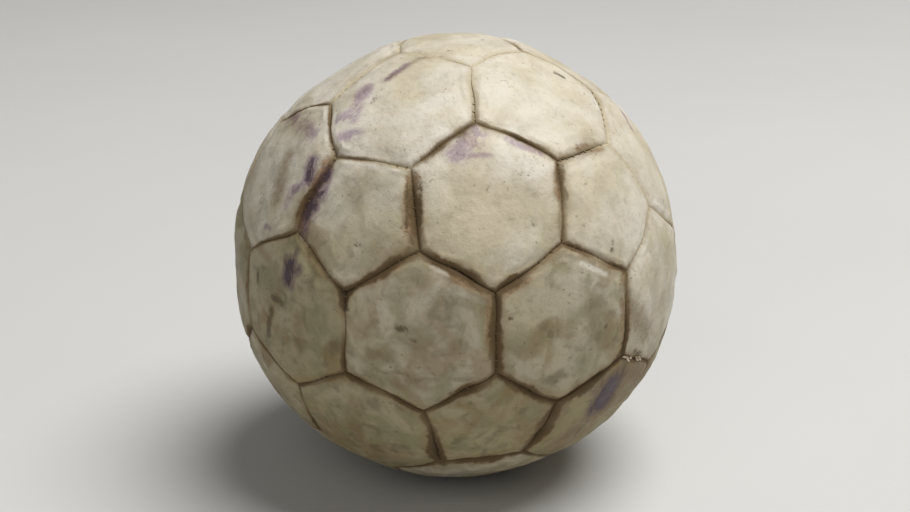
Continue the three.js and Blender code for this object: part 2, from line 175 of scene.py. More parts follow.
# Marks on the skin: kind, from and to (longitude, latitude), half-width in mm, strength
MARKS = [
    ("print", (-146.5, 37), (-145, 33), 3.4, 1.1),
    ("print", (-139.2, 35.5), (-139.5, 31), 3.6, 1.0),
    ("print", (-139.5, 31), (-140.6, 25), 4.4, 1.0),
    ("print", (-140.6, 25), (-140.4, 20.5), 4.2, 0.6),
    ("print", (-146, 31), (-149.5, 29), 2.6, 0.6),
    ("print", (-149.5, 29), (-150, 25), 2.4, 0.45),
    ("print", (-178, 43.5), (-154, 43.5), 5, 0.36),
    ("print", (-156, 18.5), (-154, 18.5), 1.3, 0.7),
    ("print", (-142.8, 12.5), (-143.6, 8), 3.8, 1.05),
    ("print", (-139.8, 12), (-141.5, 10.5), 2.6, 0.6),
    ("print", (-141.5, 16), (-142.5, 13), 2, 0.4),
    ("print", (-146.5, 59.5), (-145.5, 55.5), 4.2, 0.5),
    ("print", (-145.5, 55.5), (-141, 51), 4.2, 0.48),
    ("print", (-147, 49.5), (-142, 52), 4, 0.4),
    ("print", (-137.5, 71), (-139.6, 64), 2.2, 0.42),
    ("print", (-140.5, 45), (-133.5, 46.5), 3.4, 0.4),
    ("print", (-92.5, 48.5), (-99, 43.5), 5.5, 0.5),
    ("print", (-99.5, 43), (-88.5, 42.5), 1.6, 0.5),
    ("print", (-81.5, 46.5), (-72, 42), 2.2, 0.45),
    ("print", (-55.5, -20), (-56, -26), 6, 2.2),
    ("print", (-52.5, -18), (-60, -19), 6, 0.5),
    ("print", (-13, 43), (-18, 39), 2, 0.45),
    ("worn", (-141, 38.5), (-142, 30), 3, 0.8),
    ("worn", (-142, 30), (-142.5, 21), 3, 0.9),
    ("worn", (-111.8, 37), (-110.4, 25), 3.8, 1.0),
    ("worn", (-68, 37), (-70.5, 31.5), 2.6, 0.8),
    ("worn", (-91.5, 9), (-91.5, -1.5), 2.2, 0.85),
    ("worn", (-99.5, 14.5), (-93.5, 11.5), 2.6, 0.8),
    ("worn", (-87, 10.5), (-82, 13), 1.4, 0.7),
    ("worn", (-57.5, 41.5), (-47, 40), 2.6, 0.8),
    ("worn", (-120.5, 13), (-112.5, 17.5), 2, 0.7),
    ("worn", (-56.5, 7.5), (-54, 10.5), 1.8, 0.6),
    ("worn", (-56.5, 3.5), (-55, -8.5), 2.2, 0.5),
    ("worn", (-137.5, 73.5), (-114, 76), 2.4, 0.4),
    ("grime", (-138, 57.5), (-138, 56), 1.6, 0.5),
    ("grime", (-139.6, 66), (-139.5, 63.8), 1.3, 0.5),
    ("grime", (-173, 47.5), (-174, 47), 1.3, 0.8),
    ("grime", (-156, 7.5), (-156, 4.5), 1.1, 0.7),
    ("grime", (-149.5, 2.5), (-146, 2), 1.8, 0.7),
    ("grime", (-150, -0.5), (-152, -8), 2, 0.8),
    ("grime", (-126.5, 8.5), (-126, 6), 2.8, 1.0),
    ("grime", (-109.2, 36), (-108.6, 26), 1.2, 0.8),
    ("grime", (-113, 35.5), (-111.8, 25.5), 1.0, 0.55),
    ("grime", (-48.5, -12), (-45, -14.5), 2.4, 0.6),
    ("grime", (-58.5, -14.5), (-66, -19.5), 2.2, 0.9),
    ("grime", (-73, -29), (-78, -37.5), 2.4, 0.75),
    ("grime", (-107, -39), (-103.5, -44), 2.6, 0.6),
    ("grime", (-57.5, -32.5), (-58.5, -37), 2.4, 0.6),
    ("grime", (-30.5, 62.5), (-30, 60.5), 1.6, 0.8),
    ("grime", (-112.5, 2), (-111, 2), 2.2, 0.6),
    ("grime", (-110, -0.5), (-108.5, -1), 1.2, 0.5),
    ("grime", (-80, 26), (-79, 25.5), 1.6, 0.5),
    ("grime", (-57, 18), (-58, 16), 1.6, 0.5),
    ("grime", (-87, 4.5), (-86.5, 4.5), 0.9, 0.8),
    ("grime", (-61.5, -1.5), (-61.5, -2), 1.1, 0.8),
    ("grime", (-124.5, 20.5), (-123.5, 20), 1.4, 0.6),
    ("grime", (-99, -13.5), (-100.5, -14.5), 2.2, 0.5),
    ("soil", (-160, 36), (-155.5, 26), 6, 0.7),
    ("soil", (-161, 61.5), (-156.5, 58.5), 3, 0.45),
    ("soil", (-133.5, 73.5), (-139.6, 64), 2.8, 0.6),
    ("soil", (-176, 44), (-155, 43.5), 6, 0.36),
    ("soil", (-140, 0), (-140, -7.5), 5, 0.6),
    ("soil", (-119, -5), (-115, -5), 4, 0.6),
    ("soil", (-112.5, -12), (-107, -12), 5, 0.6),
    ("soil", (-125.5, -19.5), (-130, -36), 6, 0.55),
    ("soil", (-96, -23.5), (-91, -25), 4, 0.5),
    ("soil", (-105, -0.5), (-100.5, -2.5), 6, 0.4),
    ("soil", (-79, 33.5), (-77.5, 32.5), 2.4, 0.5),
    ("soil", (-66.5, 6), (-63, -5), 8, 0.4),
    ("soil", (-53, 0), (-45.5, -7.5), 8, 0.8),
    ("soil", (-61, 20), (-54.5, 17.5), 5, 0.35),
    ("soil", (-50, -24), (-62, -38), 14, 0.8),
    ("soil", (-51, -15.5), (-36, -25), 8, 1.0),
    # Pale marks: the narrow ones along seams are painted highlights on the raised lips; the broad
    # ones lighten the skin
    ("pale", (-105, 17), (-101.5, 15.5), 1.6, 0.9),
    ("pale", (-68, 15), (-61, 11), 1.6, 0.8),
    ("pale", (-159.5, 51), (-145.5, 43.5), 1.5, 1.0),
    ("pale", (-87.5, 12), (-82, 14.5), 1, 0.7),
    ("pale", (-78, 59.5), (-56.5, 50.5), 16, 0.55),
    ("pale", (-134.5, 39), (-117, 38.5), 2, 0.6),
    ("pale", (-120, 84), (-60, 84), 18, 0.4),
    ("pale", (-28, 38), (-24, 25), 16, 0.5),
    ("pale", (-39, 13), (-37, 5), 9, 0.45),
]
MARK_KINDS = ("print", "worn", "grime", "soil", "pale")

# How soiled and darkened a panel is: 0 is clean, and 1 is dark and dirty; on the lower panels the
# darkening is partly painted shade
SOILING = {
    "top_pentagon": 0.05,
    "crown_hexagon_2": 0.0,
    "crown_hexagon_3": 0.1,
    "crown_hexagon_4": 0.0,
    "upper_hexagon_2": 0.36,
    "upper_hexagon_3": 0.12,
    "upper_hexagon_4": 0.05,
    "upper_pentagon_3": 0.5,
    "upper_pentagon_4": 0.14,
    "middle_hexagon_4": 0.95,
    "middle_hexagon_5": 1.15,
    "middle_hexagon_6": 0.65,
    "middle_hexagon_7": 0.65,
    "middle_hexagon_8": 0.0,
    "lower_hexagon_5": 0.95,
    "lower_pentagon_1": 1.0,
    "lower_hexagon_1": 1.45,
    "foot_hexagon_1": 0.35,
    "lower_pentagon_5": 0.8,
}

# The seams by the two panels they join: how dirty, and half-widths of their stain and groove in mm
SEAM_WEAR = [
    ("upper_pentagon_3", "upper_hexagon_3", 0.85, 3.0, 2.0),
    ("upper_hexagon_2", "upper_pentagon_3", 0.9, 3.0, 1.6),
    ("upper_hexagon_3", "upper_pentagon_4", 0.64, 2.2, 1.6),
    ("middle_hexagon_6", "middle_hexagon_7", 1.0, 2.6, 2.2),
    ("upper_pentagon_3", "middle_hexagon_6", 0.74, 2.2, 1.8),
    ("upper_hexagon_3", "middle_hexagon_6", 1.0, 1.8, 1.8),
    ("upper_hexagon_3", "middle_hexagon_7", 0.78, 1.6, 1.6),
    ("upper_pentagon_4", "middle_hexagon_7", 0.75, 1.4, 1.5),
    ("middle_hexagon_6", "lower_pentagon_1", 0.9, 2.0, 2.0),
    ("middle_hexagon_7", "lower_pentagon_1", 1.05, 2.2, 2.0),
    ("lower_pentagon_1", "lower_hexagon_5", 1.0, 2.6, 2.0),
    ("lower_pentagon_1", "lower_hexagon_1", 1.0, 2.6, 2.0),
    ("lower_pentagon_1", "foot_hexagon_1", 1.15, 2.8, 2.6),
    ("middle_hexagon_7", "lower_hexagon_1", 1.0, 2.4, 1.8),
    ("middle_hexagon_7", "middle_hexagon_8", 0.7, 2.2, 1.6),
    ("upper_hexagon_3", "crown_hexagon_4", 0.68, 1.6, 1.8),
    ("crown_hexagon_3", "upper_hexagon_3", 0.8, 2.4, 2.1),
    ("crown_hexagon_3", "upper_pentagon_3", 0.5, 1.2, 1.7),
    ("crown_hexagon_3", "upper_hexagon_2", 0.68, 1.2, 1.8),
    ("crown_hexagon_3", "crown_hexagon_4", 0.3, 2.4, 2.4),
    ("crown_hexagon_3", "top_pentagon", 0.22, 2.6, 2.2),
    ("crown_hexagon_4", "top_pentagon", 0.14, 2.4, 2.0),
    ("crown_hexagon_2", "crown_hexagon_3", 0.22, 2.6, 1.8),
    ("crown_hexagon_2", "upper_hexagon_2", 0.7, 1.2, 1.3),
    ("crown_hexagon_4", "upper_pentagon_4", 0.46, 3.0, 2.0),
    ("crown_hexagon_4", "upper_hexagon_4", 0.3, 2.0, 2.0),
    ("upper_pentagon_4", "upper_hexagon_4", 0.22, 2.0, 2.0),
    ("upper_pentagon_4", "middle_hexagon_8", 0.32, 1.6, 1.8),
    ("upper_hexagon_4", "middle_hexagon_8", 0.3, 1.8, 1.8),
    ("upper_pentagon_3", "middle_hexagon_5", 0.8, 1.8, 1.5),
    ("middle_hexagon_5", "middle_hexagon_6", 0.95, 1.6, 1.6),
    ("middle_hexagon_5", "lower_hexagon_5", 0.72, 1.8, 1.8),
    ("middle_hexagon_6", "lower_hexagon_5", 1.1, 2.0, 2.0),
    ("upper_hexagon_2", "middle_hexagon_5", 0.78, 1.3, 1.5),
    ("middle_hexagon_4", "middle_hexagon_5", 0.7, 1.8, 1.5),
    ("upper_hexagon_2", "middle_hexagon_4", 0.45, 1.6, 1.4),
    ("upper_hexagon_2", "upper_pentagon_2", 0.3, 1.6, 1.4),
    ("upper_pentagon_2", "middle_hexagon_4", 0.3, 1.6, 1.4),
]

# Seams and panels that aren't listed: ranges of dirt, stain, groove and soiling
SEAM_DIRT = (0.32, 0.62)
SEAM_STAIN = (1.2, 2.8)
SEAM_GROOVE = (1.6, 2.0)
DIRT_WIDENS = 0.2  # the groove
PANEL_SOILING = (0.1, 0.5)
LOW_SEAM_DIRT = 0.45  # added below the ball's middle
LOW_PANEL_SOILING = 0.4
WEAR_BLENDS = 2.5  # the length over which one seam's wear runs into the next one's
STAIN_VARIES = 0.2
DIRT_VARIES = 0.28
DIRT_LIMITS = (0.1, 1.2)

# Marks on the rest of the ball: chance, length and half-width in mm, and strength
MARK_STYLES = {
    "print": (0.17, 4, 3.2, 0.95),
    "grime": (0.4, 2, 1.6, 0.65),
    "soil": (0.3, 7, 6.0, 0.6),
    "pale": (0.13, 6, 5.0, 0.6),
}
MARKS_ELSEWHERE = 75
WORN_CHANCE = 0.3
GAPE_CHANCE = 0.3
FRONT = (-99.6, 19.4)  # longitude and latitude of the middle of the listed marks
FRONT_COSINE = -0.02  # directions further from it than this get the other marks

SEED = 11
RIPPLES = {"broad": 42, "dents": 15, "fine": 5.5, "seam": 11, "patches": 24}  # wavelengths
WAVER_LENGTH = 19
PANELS_APART = 700  # moves each panel outwards in the ripples' space, so that no two match


# ---- directions and the panel pattern ----

def unit(vectors):
    return vectors / np.linalg.norm(vectors, axis=-1, keepdims=True)


def direction(longitude, latitude):
    lon = math.radians(longitude)
    lat = math.radians(latitude)
    return np.array([math.cos(lat) * math.cos(lon), math.cos(lat) * math.sin(lon), math.sin(lat)])


def degrees(vector):
    return math.degrees(math.atan2(vector[1], vector[0])), math.degrees(math.asin(vector[2]))


def between(a, b, share):
    return unit(a + (b - a) * share)


def angles(directions, middle):
    return np.degrees(np.arccos(np.clip(directions @ middle, -1, 1)))


def bells(directions, places):
    """The sum of smooth bumps, each with a longitude, latitude, reach and height."""
    total = np.zeros(directions.shape[:-1])
    for longitude, latitude, reach, height in places:
        away = angles(directions, direction(longitude, latitude))
        total += height * np.exp(-((away / reach) ** 2))
    return total


def pulled(directions):
    """Directions as the hand-cut panels pull them aside."""
    points = directions * BALL_RADIUS
    waver = np.stack([ripple(points.reshape(-1, 3)) for ripple in WAVER], axis=-1)
    moved = directions + waver.reshape(points.shape) * SEAM_WAVER / BALL_RADIUS
    for longitude, latitude, east, north in PULLS:
        middle = direction(longitude, latitude)
        eastward = unit(np.cross([0, 0, 1], middle))
        northward = np.cross(middle, eastward)
        weight = np.exp(-((angles(directions, middle) / PULL_REACH) ** 2))
        moved += weight[..., None] * (eastward * east + northward * north) / BALL_RADIUS
    return unit(moved)


RING_LATITUDE = math.degrees(math.atan(0.5))
TOP = direction(0, 90)
BASE = direction(0, -90)
UPPER = [direction(90 + 72 * k, RING_LATITUDE) for k in range(5)]
LOWER = [direction(-90 + 72 * k, -RING_LATITUDE) for k in range(5)]
PENTAGONS = [TOP, *UPPER, *LOWER, BASE]
NEIGHBOUR_COSINE = 0.4  # pentagons closer together than this are neighbours
SAME_COSINE = 0.9999  # directions closer together than this are the same


def neighbours(*middles):
    return [p for p in PENTAGONS if all(NEIGHBOUR_COSINE < p @ m < SAME_COSINE for m in middles)]


def pentagon_corner(middle, corner):
    whole = math.acos(middle @ corner)
    step = math.radians(PENTAGON_ANGLE)
    return (math.sin(whole - step) * middle + math.sin(step) * corner) / math.sin(whole)


class Panel:
    """One cover panel: its middle and its corners, anticlockwise as seen from outside."""

    def __init__(self, name, middle, corners):
        turn = np.cross(corners[0], corners[1]) @ middle
        self.name = name
        self.middle = middle
        self.corners = np.array(corners if turn > 0 else corners[::-1])
        following = np.roll(self.corners, -1, axis=0)
        self.inward = unit(np.cross(self.corners, following))
        self.lengths = BALL_RADIUS * np.arccos(np.sum(self.corners * following, axis=1))
        self.inner_radius = BALL_RADIUS * np.arcsin(self.inward @ middle).min()


def pentagon(name, middle):
    ring = [neighbours(middle)[0]]
    while len(ring) < 5:
        around = neighbours(middle, ring[-1])
        ring.append(next(p for p in around if not any(p @ r > SAME_COSINE for r in ring)))
    pairs = zip(ring, ring[1:] + ring[:1])
    return Panel(name, middle, [pentagon_corner(middle, unit(middle + a + b)) for a, b in pairs])


def hexagon(name, a, b):
    left, right = (unit(a + b + c) for c in neighbours(a, b))
    return Panel(name, unit(a + b), [
        left, pentagon_corner(a, left), pentagon_corner(a, right),
        right, pentagon_corner(b, right), pentagon_corner(b, left),
    ])


def all_panels():
    panels = [pentagon("top_pentagon", TOP), pentagon("base_pentagon", BASE)]
    for k in range(5):
        following = (k + 1) % 5
        panels += [
            hexagon(f"crown_hexagon_{k + 1}", TOP, UPPER[k]),
            pentagon(f"upper_pentagon_{k + 1}", UPPER[k]),
            hexagon(f"upper_hexagon_{k + 1}", UPPER[k], UPPER[following]),
            hexagon(f"middle_hexagon_{2 * k + 1}", UPPER[k], LOWER[(k + 2) % 5]),
            hexagon(f"middle_hexagon_{2 * k + 2}", UPPER[k], LOWER[(k + 3) % 5]),
            pentagon(f"lower_pentagon_{k + 1}", LOWER[k]),
            hexagon(f"lower_hexagon_{k + 1}", LOWER[k], LOWER[following]),
            hexagon(f"foot_hexagon_{k + 1}", BASE, LOWER[k]),
        ]
    return panels


class Seam:
    """The join between two panels: its two ends, its dirt and its groove's half-width."""

    def __init__(self, start, end, dirt, groove):
        self.start = start
        self.end = end
        self.dirt = dirt
        self.groove = groove


def all_seams(panels, random):
    """Every seam once. Each panel's wear list gets (dirt, stain, groove) for each of its sides."""
    known = {frozenset(row[:2]): row[2:] for row in SEAM_WEAR}
    sides = [(panel, i) for panel in panels for i in range(len(panel.corners))]
    middles = np.array([
        between(panel.corners[i], panel.corners[(i + 1) % len(panel.corners)], 0.5)
        for panel, i in sides
    ])
    for panel in panels:
        panel.wear = [None] * len(panel.corners)
    seams = []
    for here, (panel, i) in enumerate(sides):
        same = np.flatnonzero(middles @ middles[here] > SAME_COSINE)
        there = next(j for j in same if j != here)
        if there < here:
            continue
        other, j = sides[there]
        dirt = random.uniform(*SEAM_DIRT) + LOW_SEAM_DIRT * smooth(0.5 - middles[here][2])
        stain = random.uniform(*SEAM_STAIN)
        groove = random.uniform(*SEAM_GROOVE) + DIRT_WIDENS * dirt
        wear = known.get(frozenset((panel.name, other.name)), (dirt, stain, groove))
        panel.wear[i] = wear
        other.wear[j] = wear
        end = panel.corners[(i + 1) % len(panel.corners)]
        seams.append(Seam(panel.corners[i], end, wear[0], wear[2]))
    return seams


# ---- the cover's surface ----

class Ripple:
    """A smooth random field with waves of about one length, and a spread of about 1."""

    WAVES = 28

    def __init__(self, wavelength, random):
        turns = unit(random.normal(size=(self.WAVES, 3)))
        lengths = wavelength * random.uniform(0.7, 1.5, size=(self.WAVES, 1))
        self.waves = turns * 2 * math.pi / lengths
        self.phases = random.uniform(0, 2 * math.pi, self.WAVES)

    def __call__(self, points):
        return np.sin(points @ self.waves.T + self.phases).sum(axis=1) * math.sqrt(2 / self.WAVES)


WAVER = [Ripple(WAVER_LENGTH, np.random.default_rng(SEED + 2 + axis)) for axis in range(3)]


def smooth(share):
    t = np.clip(share, 0, 1)
    return t * t * (3 - 2 * t)


def place(directions, depth, above_flat=0.0):
    """Points of the ball, a depth below its radius and no lower than its flat spot."""
    radius = BALL_RADIUS + bells(directions, SLACK) - depth
    down = np.minimum(directions[:, 2], -1e-6)
    to_flat = np.where(directions[:, 2] < 0, (CENTRE_HEIGHT - above_flat) / -down, np.inf)
    return CENTRE + directions * np.minimum(radius, to_flat)[:, None]


def side_distances(panel, directions):
    return BALL_RADIUS * np.arcsin(np.clip(directions @ panel.inward.T, -1, 1))


def drawn_back(panel, directions, distances, gape):
    """Directions moved away from the seams, by half the gap and a little where they gape."""
    moved = directions.copy()
    for i, inward in enumerate(panel.inward):
        near = np.clip(1 - distances[:, i] / GAP_REACH, 0, 1) ** 2
        moved += (near * (SEAM_GAP / 2 + gape * GAPE_PARTS) / BALL_RADIUS)[:, None] * inward
    return unit(moved)


def grid_table(sides):
    """Ring, side, share along the side and share of the way out, for each point but the middle."""
    rows = [(ring, side, step / ring)
            for ring in range(1, GRID_RINGS + 1) for side in range(sides) for step in range(ring)]
    ring, side, along = (np.array(column) for column in zip(*rows))
    share = 1 - (1 - ring / GRID_RINGS) ** GRID_POWER
    return ring, side, along, share


def grid_triangles(sides):
    """Triangles of the face, with its middle as point 0 and ring after ring of points round it."""
    triangles = []
    first = [0] + [1 + sides * ring * (ring - 1) // 2 for ring in range(1, GRID_RINGS + 1)]
    for ring in range(1, GRID_RINGS + 1):
        outer = sides * ring
        inner = max(1, sides * (ring - 1))
        for side in range(sides):
            for step in range(ring):
                a = first[ring - 1] + (side * (ring - 1) + step) % inner
                b = first[ring] + side * ring + step
                c = first[ring] + (side * ring + step + 1) % outer
                triangles.append((a, b, c))
                if step < ring - 1:
                    d = first[ring - 1] + (side * (ring - 1) + step + 1) % inner
                    triangles.append((a, c, d))
    return triangles, first[-1]


def wall_triangles(start, count, rings):
    """Triangles that join rings of points, one after another, and close on a last point."""
    triangles = []
    for ring in range(rings - 1):
        here = start + ring * count
        for i in range(count):
            j = (i + 1) % count
            triangles.append((here + i, here + count + i, here + count + j))
            triangles.append((here + i, here + count + j, here + j))
    end = start + (rings - 1) * count
    triangles += [(end + i, end + count, end + (i + 1) % count) for i in range(count)]
    return triangles


def round_hole(panel, directions, rings):
    """Directions with the inner rings of the grid pushed out to a round hole."""
    east = unit(np.cross([0, 0, 1], panel.middle))
    north = np.cross(panel.middle, east)
    x = directions @ east
    y = directions @ north
    reach = np.maximum(np.hypot(x, y), 1e-9)
    mean = np.bincount(rings, reach) / np.bincount(rings)
    first, last = HOLE_RINGS
    circle = (HOLE_RADIUS + HOLE_ROUNDING) / BALL_RADIUS + mean[rings] - mean[first]
    away = smooth((rings - first) / (last - first))
    wanted = np.maximum(circle + (reach - circle) * away, 1e-6)
    flat = (east * (x / reach)[:, None] + north * (y / reach)[:, None]) * wanted[:, None]
    return unit(panel.middle * np.sqrt(1 - wanted**2)[:, None] + flat)


def hole_collar(panel, directions, depth):
    """The skin turned down into the hole, ring by ring, from the points at the hole's edge."""
    rows = []
    for share, drop in COLLAR:
        radius = (HOLE_RADIUS + HOLE_ROUNDING * share) / (HOLE_RADIUS + HOLE_ROUNDING)
        rows.append(place(between(panel.middle[None, :], directions, radius), depth + drop))
    return np.vstack(rows)


def panel_triangles(sides):
    face, rim = grid_triangles(sides)
    return np.array(face + wall_triangles(rim, sides * GRID_RINGS, WALL_RINGS), dtype=np.int32)


def holed_triangles(sides):
    """The panel's triangles outside the hole, with its collar's rings after its last point."""
    first = 1 + sides * HOLE_RINGS[0] * (HOLE_RINGS[0] - 1) // 2
    count = sides * HOLE_RINGS[0]
    whole = panel_triangles(sides)
    last = whole.max()
    kept = whole[(whole.min(axis=1) >= first) & (whole.max(axis=1) < last)]
    starts = [first] + [last + 1 + row * count for row in range(len(COLLAR))]
    rings = [start + np.arange(count) for start in starts]
    collar = []
    for outer, inner in zip(rings, rings[1:]):
        collar += [np.stack([inner, outer, np.roll(outer, -1)], axis=1),
                   np.stack([inner, np.roll(outer, -1), np.roll(inner, -1)], axis=1)]
    return np.vstack([kept, *collar]).astype(np.int32)


def groove_depth(groove, dirt):
    """Clean seams are drawn up tight and shallow, and dirty ones have sunk."""
    return groove * GROOVE_SLOPE * (CLEAN_GROOVE + (1 - CLEAN_GROOVE) * dirt)


def edge_wear(panel, distances):
    """The dirt, stain and groove at each point, from the sides that it is nearest to."""
    weights = np.exp(-distances / WEAR_BLENDS)
    weights /= weights.sum(axis=1, keepdims=True)
    return weights @ np.array(panel.wear)


def panel_shape(panel, table, ripples, marks, gapes):
    """The panel's points in millimetres, and what its material needs to know at each."""
    ring, side, along, share = table
    starts = panel.corners[side]
    ends = panel.corners[(side + 1) % len(panel.corners)]
    rim = between(starts, ends, along[:, None])
    middle = panel.middle[None, :]
    plain = np.vstack([middle, between(middle, rim, share[:, None])])
    actual = np.vstack([middle, between(middle, pulled(rim), share[:, None])])
    if panel.name == VALVE_PANEL:
        actual = round_hole(panel, actual, np.concatenate([[0], ring]))
    distances = side_distances(panel, plain)
    nearest = np.clip(distances.min(axis=1), 0, None)
    gape = bells(actual, gapes)
    actual = drawn_back(panel, actual, distances, gape)
    dirt, stain, groove = edge_wear(panel, distances).T

    surface = actual * BALL_RADIUS
    own = surface + panel.middle * PANELS_APART
    groove = (groove + gape * GAPE_WIDENS) * (1 + GROOVE_VARIES * ripples["seam"](surface))
    turn = GROOVE_TURN * np.clip(1 - nearest / groove, 0, 1)
    rolled = (1 - np.sqrt(1 - turn**2)) / (1 - math.sqrt(1 - GROOVE_TURN**2))
    shoulder = SHOULDER_DROP * (1 + SHOULDER_VARIES * ripples["broad"](own))
    hang = MIDDLE_DROP * smooth((nearest - MIDDLE_FROM) / MIDDLE_WIDTH)
    uneven = sum(height * ripples[kind](own) for kind, height in UNEVEN.items())
    calm = CALM_SHARE + (1 - CALM_SHARE) * smooth(nearest / CALM_WIDTH)
    on_lip = np.exp(-((nearest - groove - LIP_WIDTH) / LIP_WIDTH) ** 2)
    lip = LIP_HEIGHT * (LIP_EVENNESS + ripples["seam"](own)) * on_lip
    by_stitches = np.exp(-((nearest - PUCKER_FROM) / PUCKER_WIDTH) ** 2)
    pucker = PUCKER * stitch_wave(panel, plain, distances) * by_stitches
    sunk = groove_depth(groove, dirt) * rolled + shoulder * (1 - smooth(nearest / SHOULDER_WIDTH))
    depth = sunk + hang - uneven * calm - lip + pucker
    face = place(actual, depth)

    count = len(panel.corners) * GRID_RINGS
    rim_actual = actual[-count:]
    rim_depth = depth[-count:]
    fold = between(middle, rim_actual, 1 - EDGE_THICKNESS / panel.inner_radius)
    half = between(middle, rim_actual, 0.5)
    points = np.vstack([
        face,
        place(rim_actual, (2 * rim_depth + TIP_DEPTH) / 3),
        place(rim_actual, (rim_depth + 2 * TIP_DEPTH) / 3),
        place(rim_actual, np.full(count, TIP_DEPTH)),
        place(fold, np.full(count, TIP_DEPTH)),
        place(fold, np.full(count, LINING_DEPTH + LINING_EDGE_DROP), COVER_THICKNESS),
        place(half, np.full(count, LINING_DEPTH), COVER_THICKNESS),
        place(middle, np.array([LINING_DEPTH + MIDDLE_DROP]), COVER_THICKNESS),
    ])
    stain = stain * (1 + STAIN_VARIES * ripples["broad"](surface)) + GAPE_STAINS * gape
    dirt = dirt * (1 + DIRT_VARIES * ripples["patches"](surface)) + GAPE_DIRTIES * gape
    fields = {
        "in_groove": nearest / groove,
        "in_stain": nearest / stain,
        "dirt": np.clip(dirt, *DIRT_LIMITS),
        **mark_fields(actual, marks),
    }
    below = np.zeros(len(points) - len(face))
    fields = {name: np.concatenate([values, below]) for name, values in fields.items()}
    if panel.name == VALVE_PANEL:
        edge = np.flatnonzero(ring == HOLE_RINGS[0]) + 1
        points = np.vstack([points, hole_collar(panel, actual[edge], depth[edge])])
        for name, values in fields.items():
            fields[name] = np.concatenate([values, np.tile(values[edge], len(COLLAR))])
    # Each panel's soiling and painted shade, for the material
    fields["soiling"] = np.full(len(points), panel.soiling)
    return points, fields


def stitch_wave(panel, plain, distances):
    """1 at each stitch along the nearest seam and -1 half way between two."""
    side = distances.argmin(axis=1)
    start = panel.corners[side]
    tangent = np.cross(panel.inward[side], start)
    along = BALL_RADIUS * np.arctan2((plain * tangent).sum(axis=1), (plain * start).sum(axis=1))
    return np.cos(2 * math.pi * (along - panel.lengths[side] / 2) / STITCH_PITCH)


def mark_fields(directions, marks):
    """How strong each kind of mark is at each point, from 0 to about 1."""
    fields = {kind: np.zeros(len(directions)) for kind in MARK_KINDS}
    for kind, start, end, half_width, strength in marks:
        a = direction(*start)
        b = direction(*end)
        across = unit(np.cross(a, b))
        ahead = np.cross(across, a)
        length = math.acos(min(1.0, a @ b))
        along = np.clip(np.arctan2(directions @ ahead, directions @ a), 0, length)
        nearest = np.cos(along)[:, None] * a + np.sin(along)[:, None] * ahead
        apart = BALL_RADIUS * np.linalg.norm(directions - nearest, axis=1)
        fields[kind] = np.maximum(fields[kind], strength * np.exp(-((apart / half_width) ** 2)))
    return fields


def wear_elsewhere(seams, random):
    """Marks and gapes like those of the front, for the rest of the ball."""
    marks = []
    gapes = []
    front = direction(*FRONT)
    for seam in seams:
        share = random.uniform(0.1, 0.6)
        start = between(seam.start, seam.end, share)
        end = between(seam.start, seam.end, share + random.uniform(0.15, 0.4))
        across = unit(np.cross(start, end)) * random.choice([-1, 1])
        aside = across * random.uniform(0, 2.5) / BALL_RADIUS
        worn = random.random() < WORN_CHANCE * seam.dirt
        gaping = random.random() < GAPE_CHANCE * seam.dirt
        if start @ front > FRONT_COSINE:
            continue
        if worn:
            ends = [degrees(unit(point + aside)) for point in (start, end)]
            marks.append(("worn", *ends, random.uniform(1.6, 2.8), 0.85))
        if gaping:
            gapes.append((*degrees(seam.start), random.uniform(2.5, 5), random.uniform(0.4, 0.9)))
    chances = [style[0] for style in MARK_STYLES.values()]
    while len(marks) < MARKS_ELSEWHERE:
        start = unit(random.normal(size=3))
        kind = random.choice(list(MARK_STYLES), p=chances)
        _, length, half_width, strength = MARK_STYLES[kind]
        end = unit(start + random.normal(size=3) * length / BALL_RADIUS)
        size = random.uniform(0.6, 1.3)
        if start @ front < FRONT_COSINE:
            marks.append((kind, degrees(start), degrees(end), half_width * size, strength))
    return marks, gapes


# ---- meshes ----

def new_piece(name, points, triangles, material, fields=None):
    """A smooth mesh from points in millimetres, riding on the ball's body."""
    mesh = bpy.data.meshes.new(name)
    mesh.vertices.add(len(points))
    mesh.vertices.foreach_set("co", (np.asarray(points) * MM).astype(np.float32).ravel())
    mesh.loops.add(triangles.size)
    mesh.loops.foreach_set("vertex_index", triangles.astype(np.int32).ravel())
    mesh.polygons.add(len(triangles))
    mesh.polygons.foreach_set("loop_start", np.arange(0, triangles.size, 3, dtype=np.int32))
    mesh.update(calc_edges=True)
    mesh.validate()
    mesh.shade_smooth()
    for field, values in (fields or {}).items():
        attribute = mesh.attributes.new(field, "FLOAT", "POINT")
        attribute.data.foreach_set("value", np.asarray(values, dtype=np.float32))
    mesh.materials.append(material)
    piece = bpy.data.objects.new(name, mesh)
    bpy.context.scene.collection.objects.link(piece)
    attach(piece, BODY)
    return piece


def join_shapes(shapes):
    """One set of points and triangles from several."""
    start = 0
    points = []
    triangles = []
    for shape_points, shape_triangles in shapes:
        points.append(shape_points)
        triangles.append(shape_triangles + start)
        start += len(shape_points)
    return np.vstack(points), np.vstack(triangles)


def tube(path, radii, sides=8, cap=0.4):
    """A closed round tube along a path, with a radius at each point and its ends pushed out."""
    path = np.asarray(path, dtype=float)
    along = unit(np.gradient(path, axis=0))
    reference = unit(path[0] - CENTRE)
    across = unit(np.cross(along, reference))
    upward = np.cross(across, along)
    turn = np.arange(sides) * 2 * math.pi / sides
    x = np.cos(turn)[None, :, None]
    y = np.sin(turn)[None, :, None]
    ring = x * across[:, None] + y * upward[:, None]
    points = (path[:, None] + ring * np.asarray(radii)[:, None, None]).reshape(-1, 3)
    start = path[:1] - along[:1] * radii[0] * cap
    end = path[-1:] + along[-1:] * radii[-1] * cap
    points = np.vstack([start, points, end])
    first = [(0, 1 + j, 1 + (j + 1) % sides) for j in range(sides)]
    rest = [(a + 1, b + 1, c + 1) for a, b, c in wall_triangles(0, sides, len(path))]
    triangles = np.array(first + rest)
    return points, triangles[:, ::-1]


